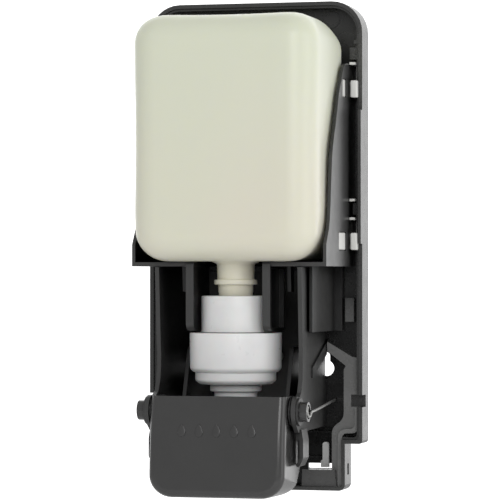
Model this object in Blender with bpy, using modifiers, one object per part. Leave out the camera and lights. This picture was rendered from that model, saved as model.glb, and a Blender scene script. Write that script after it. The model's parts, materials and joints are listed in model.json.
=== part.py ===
"""Wall-mounted lever soap dispenser, without its front cover.

A shallow back plate screws to the wall. A U-shaped lever frame and a bottle cradle clip onto it. The
upside-down bottle and its pump ride in the cradle, and a press lever lifts the pump's nozzle.

Sizes are in millimetres and the helpers turn them into metres. +X is to the right of someone facing the
dispenser, +Y goes into the wall, +Z is up. The origin is on the wall, in the middle of the back plate.
"""
import math

import bmesh
import bpy
from mathutils import Matrix, Vector

MM = 0.001
GAP = 0.3                      # clearance between pieces that touch
EDGE = 0.6                     # small moulded edge radius

# Back plate: a shallow pan with a narrower tab below it
PAN_HALF = 59.65
PAN_TOP = 132.0
PAN_BOTTOM = -106.6
PAN_CORNER = 17.0
TAB_HALF = 50.0
TAB_BOTTOM = -132.0
TAB_CORNER = 3.5
PAN_DEPTH = 15.0
PAN_FLOOR = 2.5
RIM = 3.4
RIM_LIP = 2.1                  # outer part of the rim, which stands RIM_STEP higher
RIM_STEP = 1.6
TAB_RIM = 2.0
LEDGE_FRONT = 9.0
KEYHOLE_X = 36.9
KEYHOLE_Z = -66.4
KEYHOLE_R = 4.3
KEYHOLE_SLOT = 2.0             # half the slot's width
TOP_KEYHOLE_Z = 92.0
LATCH_X = 37.4

# Lever frame: a web on the plate and two arms that splay outwards
ARM_ROOT_X = 37.2
ARM_WALL = 2.2
ARM_SPLAY = math.radians(2.25)
ARM_TOP = -11.6
ARM_BOTTOM = -97.5
WEB_BACK = -2.8
WEB_FRONT = -5.0
FIN_X = 28.3
SCREW_X = 10.0
SCREW_Z = -60.0

# Lever pivot and lever
PIVOT_Y = -79.4
PIVOT_Z = -86.6
PIN_R = 5.2
PIN_BORE = 3.7
PIN_END = 45.8
LUG_R = 8.5
LEVER_HALF = 36.4
LEVER_WALL = 2.3
LEVER_TOP = -78.6
LEVER_BOTTOM = -131.0
LEVER_CORNER = 12.5
LEVER_EDGE = 4.0

# Bottle cradle
FLOOR_LOW = -11.2
FLOOR_TOP = -9.0
CRADLE_HALF = 52.9
CRADLE_FRONT = -69.7
WING_WALL = 1.8
CLIP_HEIGHT = 9.4
CLIP_LEVELS = {"upper": 84.2, "lower": 2.3}
CLIP_STOPS = {"upper": (97.4,), "lower": (13.9, 23.9)}
WINDOW_FRONTS = {"upper": -32.4, "lower": -41.0}   # windows in the wing for the clips' pads
WINDOW_BACK = -23.5
SLOT_FRONT = -14.4              # slot behind it, inside the pan, for the clip's link
SLOT_BACK = -10.6

# Bottle and pump, on one vertical axis
AXIS_Y = -54.6
BOTTLE_HALF = 50.0
BOTTLE_FRONT = -87.3
BOTTLE_BACK = -9.3
BOTTLE_LOW = -8.6
BOTTLE_TOP = 121.8
BOTTLE_ROUND = 15.0
BOTTLE_WALL = 1.2
NECK_END = -41.0
NECK_BORE = 7.6
CAP_R = 18.3
CAP_TOP = -26.7
CAP_LOW = -45.9
COLLAR_R = 24.4
COLLAR_TOP = -46.2
COLLAR_LOW = -66.9
RING_R = 21.5
RING_LOW = -73.3
NOZZLE_R = 11.35
NOZZLE_RING_R = 13.7
NOZZLE_LOW = -82.0
SLOT_R = 18.6                  # cradle slot around the pump's cap

CHARCOAL = ("charcoal_plastic", (0.085, 0.085, 0.088), 0.34, 0.0)
DARK_LEVER = ("lever_plastic", (0.075, 0.074, 0.076), 0.26, 0.0)
LATCH_GREY = ("latch_grey", (0.32, 0.32, 0.32), 0.4, 0.0)
WHITE_NYLON = ("white_nylon", (0.78, 0.78, 0.74), 0.4, 0.0)
PUMP_WHITE = ("pump_white", (0.8, 0.8, 0.8), 0.35, 0.0)
MILKY = ("milky_hdpe", (0.72, 0.73, 0.6), 0.35, 0.0)
SOAP = ("hand_soap", (0.72, 0.71, 0.6), 0.2, 0.0)
STEEL = ("spring_steel", (0.6, 0.6, 0.6), 0.3, 1.0)
RUBBER = ("seal_rubber", (0.06, 0.06, 0.06), 0.7, 0.0)
MESH_WHITE = ("screen_mesh", (0.7, 0.7, 0.7), 0.6, 0.0)


# ---------------------------------------------------------------- helpers

def clear_scene():
    for thing in list(bpy.data.objects):
        bpy.data.objects.remove(thing, do_unlink=True)
    parts = bpy.data.collections.new("soap_dispenser")
    bpy.context.scene.collection.children.link(parts)
    return parts


PARTS = clear_scene()


def add(name, mesh):
    obj = bpy.data.objects.new(name, mesh)
    PARTS.objects.link(obj)
    return obj


def drop(obj):
    bpy.data.objects.remove(obj, do_unlink=True)


def bake(obj):
    """Swap an object for a plain mesh of what its modifiers or its curve make."""
    bpy.context.view_layer.update()
    evaluated = obj.evaluated_get(bpy.context.evaluated_depsgraph_get())
    mesh = bpy.data.meshes.new_from_object(evaluated)
    bm = bmesh.new()
    bm.from_mesh(mesh)
    bmesh.ops.remove_doubles(bm, verts=bm.verts, dist=2e-6)
    bmesh.ops.recalc_face_normals(bm, faces=bm.faces)
    bm.to_mesh(mesh)
    bm.free()
    mesh.transform(obj.matrix_world)
    name = obj.name
    drop(obj)
    return add(name, mesh)


def box(name, low, high, edge=0.0, segments=2):
    """Box between two corners, with rounded edges when edge is given."""
    size = [abs(b - a) * MM for a, b in zip(low, high)]
    middle = [(a + b) / 2 * MM for a, b in zip(low, high)]
    bm = bmesh.new()
    shape = Matrix.Translation(middle) @ Matrix.Diagonal(size + [1.0])
    bmesh.ops.create_cube(bm, size=1.0, matrix=shape)
    if edge:
        bmesh.ops.bevel(bm, geom=bm.edges[:], offset=edge * MM, segments=segments, profile=0.5,
                        affect="EDGES")
    mesh = bpy.data.meshes.new(name)
    bm.to_mesh(mesh)
    bm.free()
    return add(name, mesh)


def corner(before, point, after, radius, steps):
    """Points of the arc that rounds one corner of an outline."""
    here = Vector(point)
    back = (Vector(before) - here).normalized()
    ahead = (Vector(after) - here).normalized()
    half = back.angle(ahead) / 2
    reach = radius / math.tan(half)
    centre = here + (back + ahead).normalized() * (radius / math.sin(half))
    start = here + back * reach - centre
    turn = start.angle_signed(here + ahead * reach - centre)
    points = []
    for i in range(steps + 1):
        spin = Matrix.Rotation(-turn * i / steps, 2)
        points.append(tuple(centre + spin @ start))
    return points


def outline(*corners, steps=5):
    """Closed outline; a corner with a third number is rounded with that radius."""
    points = []
    count = len(corners)
    for i, item in enumerate(corners):
        if len(item) < 3:
            points.append(tuple(item[:2]))
            continue
        before, after = corners[i - 1][:2], corners[(i + 1) % count][:2]
        points += corner(before, item[:2], after, item[2], steps)
    return points


def circle(x, y, radius, steps=32):
    return [(x + radius * math.cos(math.tau * i / steps), y + radius * math.sin(math.tau * i / steps))
            for i in range(steps)]


FACING = {
    "X": Matrix(((0, 0, 1, 0), (1, 0, 0, 0), (0, 1, 0, 0), (0, 0, 0, 1))),   # outline in Y, Z
    "Y": Matrix(((1, 0, 0, 0), (0, 0, -1, 0), (0, 1, 0, 0), (0, 0, 0, 1))),  # outline in X, Z
    "Z": Matrix.Identity(4),                                                # outline in X, Y
}


def prism(name, axis, start, end, *outlines):
    """Flat outline with holes, pulled from start to end along an axis."""
    curve = bpy.data.curves.new(name, "CURVE")
    curve.dimensions = "2D"
    curve.fill_mode = "BOTH"
    curve.extrude = abs(end - start) / 2 * MM
    for points in outlines:
        spline = curve.splines.new("POLY")
        spline.points.add(len(points) - 1)
        for target, (x, y) in zip(spline.points, points):
            target.co = (x * MM, y * MM, 0.0, 1.0)
        spline.use_cyclic_u = True
    obj = add(name, curve)
    place = [0.0, 0.0, 0.0]
    place["XYZ".index(axis)] = (start + end) / 2 * MM
    obj.matrix_world = Matrix.Translation(place) @ FACING[axis]
    return bake(obj)


def turned(name, profile, centre=(0.0, AXIS_Y), steps=24):
    """Profile of (radius, height) points turned about a vertical axis."""
    mesh = bpy.data.meshes.new(name)
    closed = all(radius > 0 for radius, height in profile)
    edges = [(i, i + 1) for i in range(len(profile) - 1)]
    if closed:
        edges.append((len(profile) - 1, 0))
    mesh.from_pydata([(r * MM, 0.0, z * MM) for r, z in profile], edges, [])
    obj = add(name, mesh)
    screw = obj.modifiers.new("turn", "SCREW")
    screw.steps = screw.render_steps = steps
    screw.use_merge_vertices = True
    screw.merge_threshold = 0.000001
    obj.location = (centre[0] * MM, centre[1] * MM, 0.0)
    return bake(obj)


def rod(name, start, end, radius, steps=32):
    """Straight round bar between two points."""
    a, b = Vector(start) * MM, Vector(end) * MM
    bm = bmesh.new()
    aim = (b - a).to_track_quat("Z", "Y").to_matrix().to_4x4()
    bmesh.ops.create_cone(bm, cap_ends=True, segments=steps, radius1=radius * MM, radius2=radius * MM,
                          depth=(b - a).length, matrix=Matrix.Translation((a + b) / 2) @ aim)
    mesh = bpy.data.meshes.new(name)
    bm.to_mesh(mesh)
    bm.free()
    return add(name, mesh)


def wire(name, points, radius, sides=1):
    """Bent wire along a list of points."""
    curve = bpy.data.curves.new(name, "CURVE")
    curve.dimensions = "3D"
    curve.bevel_depth = radius * MM
    curve.bevel_resolution = sides
    curve.use_fill_caps = True
    spline = curve.splines.new("POLY")
    spline.points.add(len(points) - 1)
    for target, point in zip(spline.points, points):
        target.co = (*(Vector(point) * MM), 1.0)
    return bake(add(name, curve))


def combine(obj, operation, *tools):
    """Boolean a list of tools into an object, one after another."""
    for tool in tools:
        modifier = obj.modifiers.new(operation.lower(), "BOOLEAN")
        modifier.operation = operation
        modifier.solver = "EXACT"
        modifier.object = tool
        obj = bake(obj)
        drop(tool)
    return obj


def join(obj, *tools):
    return combine(obj, "UNION", *tools)


def cut(obj, *tools):
    return combine(obj, "DIFFERENCE", *tools)


def mirror_whole(obj):
    """Make a right half whole by cutting it at X = 0 and mirroring it."""
    mirror = obj.modifiers.new("mirror", "MIRROR")
    mirror.use_axis[0] = True
    mirror.use_bisect_axis[0] = True
    mirror.use_bisect_flip_axis[0] = False
    mirror.merge_threshold = 0.000005
    return bake(obj)


def mirror_copy(obj, name):
    """Left-hand copy of a right-hand piece."""
    mesh = obj.data.copy()
    mesh.transform(Matrix.Scale(-1.0, 4, (1.0, 0.0, 0.0)))
    mesh.flip_normals()
    return add(name, mesh)


def finish(obj, look, smooth=30.0):
    name, colour, roughness, metallic = look
    material = bpy.data.materials.get(name)
    if material is None:
        material = bpy.data.materials.new(name)
        material.use_nodes = True
        shader = material.node_tree.nodes["Principled BSDF"]
        shader.inputs["Base Color"].default_value = (*colour, 1.0)
        shader.inputs["Roughness"].default_value = roughness
        shader.inputs["Metallic"].default_value = metallic
    obj.data.materials.clear()
    obj.data.materials.append(material)
    obj.data.shade_smooth()
    obj.data.set_sharp_from_angle(angle=math.radians(smooth))
    return obj


def pivot(name, place, pieces, parent=None):
    """Empty on a joint's axis that carries the pieces of a moving body."""
    empty = bpy.data.objects.new(name, None)
    PARTS.objects.link(empty)
    empty.location = Vector(place) * MM
    if parent:
        empty.parent = parent
        empty.matrix_parent_inverse = parent.matrix_world.inverted()
    bpy.context.view_layer.update()
    for piece in pieces:
        piece.parent = empty
        piece.matrix_parent_inverse = empty.matrix_world.inverted()
    return empty


# ---------------------------------------------------------------- back plate

def pan_outline(inset=0.0, tab_inset=0.0):
    side, top = PAN_HALF - inset, PAN_TOP - inset
    tab = TAB_HALF - tab_inset
    shoulder = PAN_BOTTOM + inset
    return outline((-2.0, top), (side, top, PAN_CORNER - inset), (side, shoulder, 2.0),
                   (tab, shoulder), (tab, TAB_BOTTOM + tab_inset, TAB_CORNER - tab_inset),
                   (-2.0, TAB_BOTTOM + tab_inset), steps=8)


def ledge():
    """Raised band with the roof-shaped rib over the keyhole."""
    shape = outline((38.8, -51.8), (52.5, -59.9, 2.0), (56.8, -60.6), (56.8, -101.0, 4.0),
                    (47.0, -101.0, 3.0), (47.0, -130.5), (41.4, -130.5), (41.4, -98.5, 6.0),
                    (48.0, -93.5, 6.0), (48.0, -66.8, 0.8), (49.3, -65.0, 0.8), (38.8, -56.9), steps=4)
    return prism("ledge", "Y", -PAN_FLOOR + 0.5, -LEDGE_FRONT, shape)


def ledge_lip():
    """Narrow raised lip along the ledge's outer edge."""
    shape = outline((54.4, -87.5), (56.9, -87.5), (56.9, -101.2, 4.2), (47.2, -101.2, 2.8),
                    (47.2, -130.4), (45.0, -130.4), (45.0, -98.9, 4.6), (54.4, -98.9, 2.6), steps=4)
    return prism("ledge_lip", "Y", -LEDGE_FRONT + 0.5, -10.6, shape)


def keyhole(x, z):
    round_end = prism("keyhole_round", "Y", 1.0, -20.0, circle(x, z, KEYHOLE_R, 24))
    top = z + KEYHOLE_R + 4.4
    shape = outline((x - KEYHOLE_SLOT, z), (x + KEYHOLE_SLOT, z),
                    (x + KEYHOLE_SLOT, top, 1.9), (x - KEYHOLE_SLOT, top, 1.9))
    return [round_end, prism("keyhole_slot", "Y", 1.0, -20.0, shape)]


def back_plate():
    plate = prism("back_plate", "Y", 0.0, -PAN_DEPTH, pan_outline())
    hollow = prism("hollow", "Y", -PAN_FLOOR, -PAN_DEPTH - 1.0, pan_outline(RIM, TAB_RIM))
    step = prism("rim_step", "Y", RIM_STEP - PAN_DEPTH, -PAN_DEPTH - 1.0, pan_outline(RIM_LIP, TAB_RIM + 0.5))
    plate = cut(plate, hollow, step)
    rim_tongue = box("rim_tongue", (PAN_HALF - 1.6, -18.6, 1.0), (PAN_HALF, -10.0, 73.0))
    catch_box = prism("catch_box", "Y", -2.0, -13.0,
                      outline((25.5, -130.5), (44.7, -130.5), (43.9, -120.9), (25.9, -120.9)))
    pad = box("pad", (52.0, -12.0, 100.5), (57.0, -2.0, 107.0))
    nub = box("nub", (54.6, -13.0, 109.0), (57.0, -2.0, 111.0))
    stop = box("stop", (54.0, -13.0, 16.8), (57.0, -5.3, 23.0))
    side_pad = box("side_pad", (48.6, -8.0, -41.0), (53.4, -2.0, -28.2))
    steps = [box("step", (20.0, -3.6, z), (41.8, -2.0, z + 0.9)) for z in (-101.4, -115.0)]
    mark = prism("ejector_mark", "Y", -2.0, -2.9, circle(39.6, 123.0, 4.6, 20))
    plate = join(plate, rim_tongue, ledge(), ledge_lip(), catch_box, pad, nub, stop, side_pad, *steps, mark)
    window = box("window", (26.7, -4.0, -120.7), (40.1, 1.0, -118.0))
    socket = box("cover_socket", (52.0, -20.0, -86.9), (60.5, -6.5, -80.3))
    tab_slot = box("tab_slot", (47.0, -9.0, -123.6), (51.0, -5.6, -117.6))
    screw_hole = rod("screw_hole", (SCREW_X, 1.0, SCREW_Z), (SCREW_X, -4.0, SCREW_Z), 1.6, 16)
    plate = cut(plate, window, socket, tab_slot, screw_hole, *keyhole(KEYHOLE_X, KEYHOLE_Z))
    plate = mirror_whole(plate)
    plate = cut(plate, *keyhole(0.0, TOP_KEYHOLE_Z))
    return finish(plate, CHARCOAL)


# ---------------------------------------------------------------- lever frame

def lug_arc():
    """Front of the arm around the pivot, from above it to below it."""
    points = []
    for i in range(13):
        angle = math.radians(108.0 + 137.0 * i / 12)
        points.append((PIVOT_Y + LUG_R * math.cos(angle), PIVOT_Z + LUG_R * math.sin(angle)))
    return points


def arm():
    """Right arm, seen from the side, with its hook below and rib outside."""
    side = [(WEB_BACK, ARM_TOP), (-70.8, ARM_TOP), (-69.6, -28.0), (-68.6, -42.0), (-67.3, -56.0),
            (-67.3, -64.0), (-68.4, -71.0), (-71.6, -77.0), (-76.0, -79.2)]
    side += lug_arc() + [(-78.5, ARM_BOTTOM), (WEB_BACK, ARM_BOTTOM)]
    body = prism("arm", "X", ARM_ROOT_X - ARM_WALL, ARM_ROOT_X, side)
    rib = prism("rib", "X", ARM_ROOT_X - 0.5, ARM_ROOT_X + 1.0,
                [(WEB_BACK, -50.4), (-46.0, -64.6), (-46.0, -70.2), (WEB_BACK, -57.2)])
    body = join(body, rib)
    splay = Matrix.Translation((ARM_ROOT_X * MM, WEB_BACK * MM, 0.0)) @ Matrix.Rotation(ARM_SPLAY, 4, "Z")
    body.data.transform(splay @ Matrix.Translation((-ARM_ROOT_X * MM, -WEB_BACK * MM, 0.0)))
    return body


def hook():
    """D-shaped stop under the arm, with a raised lip round its front."""
    front, back = -75.5, -63.5
    block = prism("hook", "Y", back, front,
                  outline((37.9, -96.0), (41.0, -96.0), (41.9, -101.5, 2.0), (41.9, -111.0, 3.0),
                          (39.2, -116.8, 1.2), (37.9, -114.5)))
    dish = prism("dish", "Y", front + 4.0, front - 1.0,
                 outline((36.0, -100.8), (39.9, -100.8, 1.6), (39.9, -110.6, 1.5), (38.5, -113.6),
                         (36.0, -113.6)))
    return cut(block, dish)


def lever_frame():
    frame = box("lever_frame", (-2.0, WEB_FRONT, ARM_BOTTOM), (ARM_ROOT_X - 0.4, WEB_BACK, -14.0))
    fin = prism("fin", "X", FIN_X - 1.0, FIN_X + 1.0,
                [(-4.0, -54.0), (-44.5, -54.0), (-46.2, -56.4), (-55.4, -80.5), (-50.0, -84.0),
                 (-4.0, -84.0)])
    boss = rod("pivot_boss", (37.2, PIVOT_Y, PIVOT_Z), (41.6, PIVOT_Y, PIVOT_Z), LUG_R - 1.2, 32)
    frame = join(frame, arm(), hook(), fin, boss)
    bore = rod("pivot_bore", (30.0, PIVOT_Y, PIVOT_Z), (50.0, PIVOT_Y, PIVOT_Z), PIN_R + 0.2, 32)
    inner = box("lever_room", (30.0, -95.0, -99.0), (37.75, -72.0, -76.0))
    wall_screw = box("wall_screw_room", (31.8, -7.6, -72.2), (40.0, 0.0, -53.2))
    screw_hole = rod("screw_hole", (SCREW_X, 0.0, SCREW_Z), (SCREW_X, -8.0, SCREW_Z), 1.9, 16)
    frame = cut(frame, inner, bore, wall_screw, screw_hole)
    return finish(mirror_whole(frame), CHARCOAL)


def frame_screw(side):
    """Pan-head screw that holds the lever frame's web to the back plate."""
    head = WEB_FRONT - GAP
    profile = [(0.0, head - 2.2), (2.2, head - 2.1), (3.3, head - 1.2), (3.4, head), (1.3, head),
               (1.3, -0.8), (0.0, -0.4)]
    screw = turned("frame_screw_" + side, [(r, -z) for r, z in profile], (0.0, 0.0), 20)
    sign = 1.0 if side == "right" else -1.0
    screw.data.transform(Matrix.Rotation(math.radians(90.0), 4, "X"))
    screw.data.transform(Matrix.Translation((sign * SCREW_X * MM, 0.0, SCREW_Z * MM)))
    slots = [box("slot", (sign * SCREW_X - a, head - 3.0, SCREW_Z - b),
                 (sign * SCREW_X + a, head - 1.2, SCREW_Z + b)) for a, b in ((0.45, 2.0), (2.0, 0.45))]
    return finish(cut(screw, *slots), STEEL)


# ---------------------------------------------------------------- cradle

def wing_side():
    """Side view of the wing that hugs the bottle, front edge sweeping back as it rises."""
    return [(WEB_BACK, FLOOR_LOW), (CRADLE_FRONT, FLOOR_LOW), (CRADLE_FRONT, 0.3), (-66.6, 4.6),
            (-63.9, 8.1), (-61.6, 13.6), (-60.2, 20.7), (-58.6, 33.0), (-56.6, 45.4), (-54.5, 52.0),
            (-51.4, 58.4), (-48.2, 63.8), (-46.2, 68.4), (-44.0, 72.8), (-42.4, 76.6), (-40.6, 80.6),
            (-37.8, 84.6), (-34.6, 88.5), (-32.0, 92.4), (-29.6, 95.2), (-26.6, 97.0), (-22.0, 97.8),
            (WEB_BACK, 97.8)]


def bottle_cradle():
    rear = [(SLOT_R * math.cos(a), AXIS_Y + SLOT_R * math.sin(a))
            for a in (math.radians(90.0 - 9.0 * i) for i in range(11))]
    floor = prism("bottle_cradle", "Z", FLOOR_LOW, FLOOR_TOP,
                  [(-2.0, WEB_BACK), (-2.0, rear[0][1])] + rear[:-1]
                  + [(SLOT_R, CRADLE_FRONT), (CRADLE_HALF - 0.1, CRADLE_FRONT),
                     (CRADLE_HALF - 0.1, WEB_BACK)])
    wing = prism("wing", "X", CRADLE_HALF - WING_WALL, CRADLE_HALF, wing_side())
    prong = prism("prong", "X", SLOT_R + 0.1, 22.9,
                  outline((-40.0, -10.0), (-40.0, -45.3), (-70.7, -45.3, 5.0), (-70.7, -10.0)))
    prong_room = prism("prong_room", "X", SLOT_R + 1.9, 24.0,
                       outline((-42.0, -12.5), (-42.0, -43.5), (-67.6, -43.5, 3.0), (-67.6, -12.5)))
    prong = cut(prong, prong_room)
    fin = prism("fin", "X", 22.8, 24.8, [(-47.0, -10.0), (-47.0, -24.6), (-52.6, -24.6), (-54.0, -10.0)])
    fin.data.transform(Matrix.Translation((5.0 * MM, 0.0, 0.0)))
    leg = box("leg", (40.6, -57.0, -45.9), (42.4, -4.4, FLOOR_LOW + 0.6))
    leg_face = box("leg_face", (42.2, -7.2, -45.9), (46.8, -4.4, FLOOR_LOW + 0.6))
    cradle = join(floor, wing, prong, fin, leg, leg_face)
    for name, level in CLIP_LEVELS.items():
        low, high = level - CLIP_HEIGHT / 2 - GAP, level + CLIP_HEIGHT / 2 + GAP
        cradle = cut(cradle, box("window", (50.0, WINDOW_FRONTS[name], low), (55.0, WINDOW_BACK, high)),
                     box("strap_room", (50.0, WINDOW_BACK - 0.5, low), (51.9, SLOT_FRONT + 0.5, high)),
                     box("slot", (50.0, SLOT_FRONT, low), (55.0, SLOT_BACK, high)))
    return finish(mirror_whole(cradle), CHARCOAL)


def cradle_clip(level):
    """Nylon slide: a pad in the wing's window, a tab over the pan's rim and a foot on the pan."""
    low, high = CLIP_LEVELS[level] - CLIP_HEIGHT / 2, CLIP_LEVELS[level] + CLIP_HEIGHT / 2
    clip = box("cradle_clip_right_" + level, (50.4, WINDOW_FRONTS[level] + GAP, low),
               (CRADLE_HALF - 0.5, WINDOW_BACK - GAP, high), EDGE)
    bridge = box("bridge", (50.45, -26.0, low + 0.6), (51.55, -12.0, high - 0.6))
    link = box("link", (50.5, SLOT_FRONT + GAP, low + 0.8), (54.6, SLOT_BACK - GAP, high - 0.8))
    tab = box("tab", (54.3, -20.1, low + 0.1), (57.7, -15.4, high - 0.1), EDGE)
    stalk = box("stalk", (53.5, -16.5, low + 2.2), (55.9, WEB_BACK, high - 2.2))
    stops = CLIP_STOPS[level]
    spine = box("spine", (54.1, -5.0, CLIP_LEVELS[level]), (55.9, WEB_BACK, stops[-1] + 1.2))
    fingers = [box("finger", (CRADLE_HALF + GAP, -17.4, z), (56.0, WEB_BACK, z + 1.3)) for z in stops]
    return finish(join(clip, bridge, link, tab, stalk, spine, *fingers), WHITE_NYLON)


# ---------------------------------------------------------------- lever

def lever_block(name, inset, rise=0.0, back=0.0):
    """Rounded body of the lever. The hollow inside is the same block, smaller."""
    front = [(-89.8, LEVER_TOP), (-91.6, -84.5), (-93.0, -91.0), (-94.2, -100.0), (-95.3, -112.0),
             (-96.5, LEVER_BOTTOM)]
    front = [(y + inset, max(z, LEVER_BOTTOM + inset)) for y, z in front]
    front[0] = (front[0][0] + rise * 0.25, LEVER_TOP + rise)
    if inset:
        rear = [(back, LEVER_BOTTOM + inset), (back, LEVER_TOP + rise)]
    else:
        rear = [(-75.0, LEVER_BOTTOM), (-67.0, -124.0), (-59.8, -116.0), (-59.8, -99.0),
                (-66.0, -84.0), (-69.5, LEVER_TOP)]
    half = LEVER_HALF - inset
    block = prism(name, "X", -half, half, front + rear)
    bm = bmesh.new()
    bm.from_mesh(block.data)
    bmesh.ops.dissolve_limit(bm, angle_limit=math.radians(1.0), verts=bm.verts, edges=bm.edges)
    low = (LEVER_BOTTOM + inset) * MM
    bottoms = [e for e in bm.edges if all(abs(v.co.z - low) < 1e-5 for v in e.verts)
               and abs(e.verts[0].co.x - e.verts[1].co.x) < 1e-5]
    bmesh.ops.bevel(bm, geom=bottoms, offset=(LEVER_CORNER - inset) * MM, segments=9, profile=0.5,
                    affect="EDGES")
    bm.normal_update()
    rims = [e for e in bm.edges if len(e.link_faces) == 2
            and min(f.normal.y for f in e.link_faces) < -0.9
            and max(f.normal.y for f in e.link_faces) > -0.5
            and min(v.co.z for v in e.verts) < (LEVER_TOP + rise) * MM - 1e-5]
    bmesh.ops.bevel(bm, geom=rims, offset=(LEVER_EDGE - inset) * MM, segments=4, profile=0.5,
                    affect="EDGES")
    bm.to_mesh(block.data)
    bm.free()
    return block


def press_lever():
    lever = lever_block("press_lever", 0.0)
    hollow = lever_block("hollow", LEVER_WALL, rise=6.0, back=-50.0)
    lever = cut(lever, hollow)
    for side in (-1.0, 1.0):
        hole = rod("pin_hole", (side * 30.0, PIVOT_Y, PIVOT_Z), (side * 40.0, PIVOT_Y, PIVOT_Z),
                   PIN_R + GAP, 32)
        lever = cut(lever, hole)
    return finish(lever, DARK_LEVER)


def lift_yoke():
    """Cross bar between the lever's sides, with a tongue under the nozzle and two round pads."""
    inner = LEVER_HALF - LEVER_WALL - GAP
    plate = prism("lift_yoke", "Z", -88.0, -85.6,
                  outline((-inner, -74.0), (inner, -74.0), (inner, -62.0, 2.0), (25.0, -62.0, 2.0),
                          (22.0, -44.5, 3.0), (-22.0, -44.5, 3.0), (-25.0, -62.0, 2.0),
                          (-inner, -62.0, 2.0), steps=3),
                  circle(0.0, AXIS_Y, 6.9, 28))
    pads = [rod("pad", (side * 8.2, AXIS_Y, -85.4), (side * 11.6, AXIS_Y, -85.4), 3.0, 24)
            for side in (-1.0, 1.0)]
    return finish(join(plate, *pads), DARK_LEVER)


def pivot_pin():
    """Hollow pin pressed through the lever's side, with a shoulder against the arm."""
    shaft = rod("pivot_pin_right", (33.0, PIVOT_Y, PIVOT_Z), (PIN_END, PIVOT_Y, PIVOT_Z), PIN_R, 32)
    shoulder = rod("shoulder", (LEVER_HALF + GAP, PIVOT_Y, PIVOT_Z), (37.4, PIVOT_Y, PIVOT_Z), 7.6, 32)
    hollow = rod("hollow", (36.0, PIVOT_Y, PIVOT_Z), (60.0, PIVOT_Y, PIVOT_Z), PIN_BORE, 24)
    return finish(cut(join(shaft, shoulder), hollow), DARK_LEVER)


def return_spring():
    """Torsion spring: a coil inside the pin and a leg that runs back to the plate."""
    points = []
    turns, coil_r, start_x, end_x = 4.0, 2.5, 38.4, 46.6
    steps = 10 * int(turns)
    for i in range(steps + 1):
        angle = math.tau * turns * i / steps
        points.append((start_x + (end_x - start_x) * i / steps,
                       PIVOT_Y + coil_r * math.cos(angle), PIVOT_Z + coil_r * math.sin(angle)))
    points += [(46.4, -64.0, -86.0), (42.3, -5.6, -83.5), (42.1, -3.7, -83.4)]
    return finish(wire("return_spring_right", points, 0.7), STEEL)


def cover_latch():
    """Springy tongue that the cover's catch hooks over."""
    tongue = prism("cover_latch_right", "Y", -4.4, -6.8,
                   outline((35.7, -106.2, 1.65), (39.1, -106.2, 1.65), (39.1, -119.9), (34.7, -119.9),
                           (34.7, -116.4, 0.8), (35.7, -115.8)))
    return finish(tongue, LATCH_GREY)


# ---------------------------------------------------------------- bottle and pump

def bottle_body(name, inset):
    low = (-BOTTLE_HALF + inset, BOTTLE_FRONT + inset, BOTTLE_LOW + inset)
    high = (BOTTLE_HALF - inset, BOTTLE_BACK - inset, BOTTLE_TOP - inset)
    return box(name, low, high, BOTTLE_ROUND - inset, 3)


def bottle():
    shell = bottle_body("bottle", 0.0)
    neck = turned("neck", [(0.0, -6.0), (9.9, -6.0), (9.9, -18.2), (11.45, -18.2), (11.45, -20.8),
                           (9.0, -20.8), (9.0, NECK_END), (0.0, NECK_END)])
    inside = bottle_body("inside", BOTTLE_WALL)
    bore = rod("bore", (0.0, AXIS_Y, NECK_END - 2.0), (0.0, AXIS_Y, -4.0), NECK_BORE)
    return finish(cut(join(shell, neck), join(inside, bore)), MILKY)


def soap_fill():
    """The soap, up to a level a little under the bottle's top, with a column in the neck."""
    soap = bottle_body("soap_fill", BOTTLE_WALL + GAP)
    air = box("air", (-60.0, -100.0, 108.0), (60.0, 0.0, 140.0))
    column = rod("column", (0.0, AXIS_Y, -21.6), (0.0, AXIS_Y, -4.0), NECK_BORE - GAP)
    return finish(join(cut(soap, air), column), SOAP)


def screw_cap():
    return finish(turned("screw_cap", [
        (9.4, CAP_TOP), (17.6, CAP_TOP), (CAP_R, CAP_TOP - 0.7), (CAP_R, CAP_LOW), (16.6, CAP_LOW),
        (16.6, -29.0), (9.4, -29.0)], steps=32), PUMP_WHITE)


def neck_gasket():
    return finish(turned("neck_gasket", [
        (7.8, -41.3), (15.8, -41.3), (15.8, -42.4), (7.8, -42.4)]), RUBBER)


def pump_cylinder():
    """Liquid cylinder that reaches up into the neck, with its inlet at the top."""
    return finish(turned("pump_cylinder", [
        (1.2, -24.0), (6.2, -24.0), (7.0, -24.8), (7.0, -42.7), (16.2, -42.7), (16.2, -44.6),
        (6.0, -44.6), (6.0, -25.5), (1.2, -25.5)], steps=20), PUMP_WHITE)


def inlet_ball():
    """Ball that closes the cylinder's inlet."""
    bm = bmesh.new()
    bmesh.ops.create_uvsphere(bm, u_segments=14, v_segments=8, radius=1.9 * MM,
                              matrix=Matrix.Translation(Vector((0.0, AXIS_Y, -27.8)) * MM))
    mesh = bpy.data.meshes.new("inlet_ball")
    bm.to_mesh(mesh)
    bm.free()
    return finish(add("inlet_ball", mesh), STEEL)


def pump_collar():
    """Air cylinder of the foam pump, with the stepped guide ring at its mouth."""
    return finish(turned("pump_collar", [
        (4.4, COLLAR_TOP), (23.9, COLLAR_TOP), (COLLAR_R, COLLAR_TOP - 0.5), (COLLAR_R, -64.4),
        (23.9, -66.0), (22.4, COLLAR_LOW), (RING_R, COLLAR_LOW - 0.3), (RING_R, -71.4), (20.2, -72.7),
        (18.8, RING_LOW), (14.3, RING_LOW), (14.3, -66.4), (19.6, -66.4), (19.6, -48.4), (4.4, -48.4)],
        steps=36), PUMP_WHITE)


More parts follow.
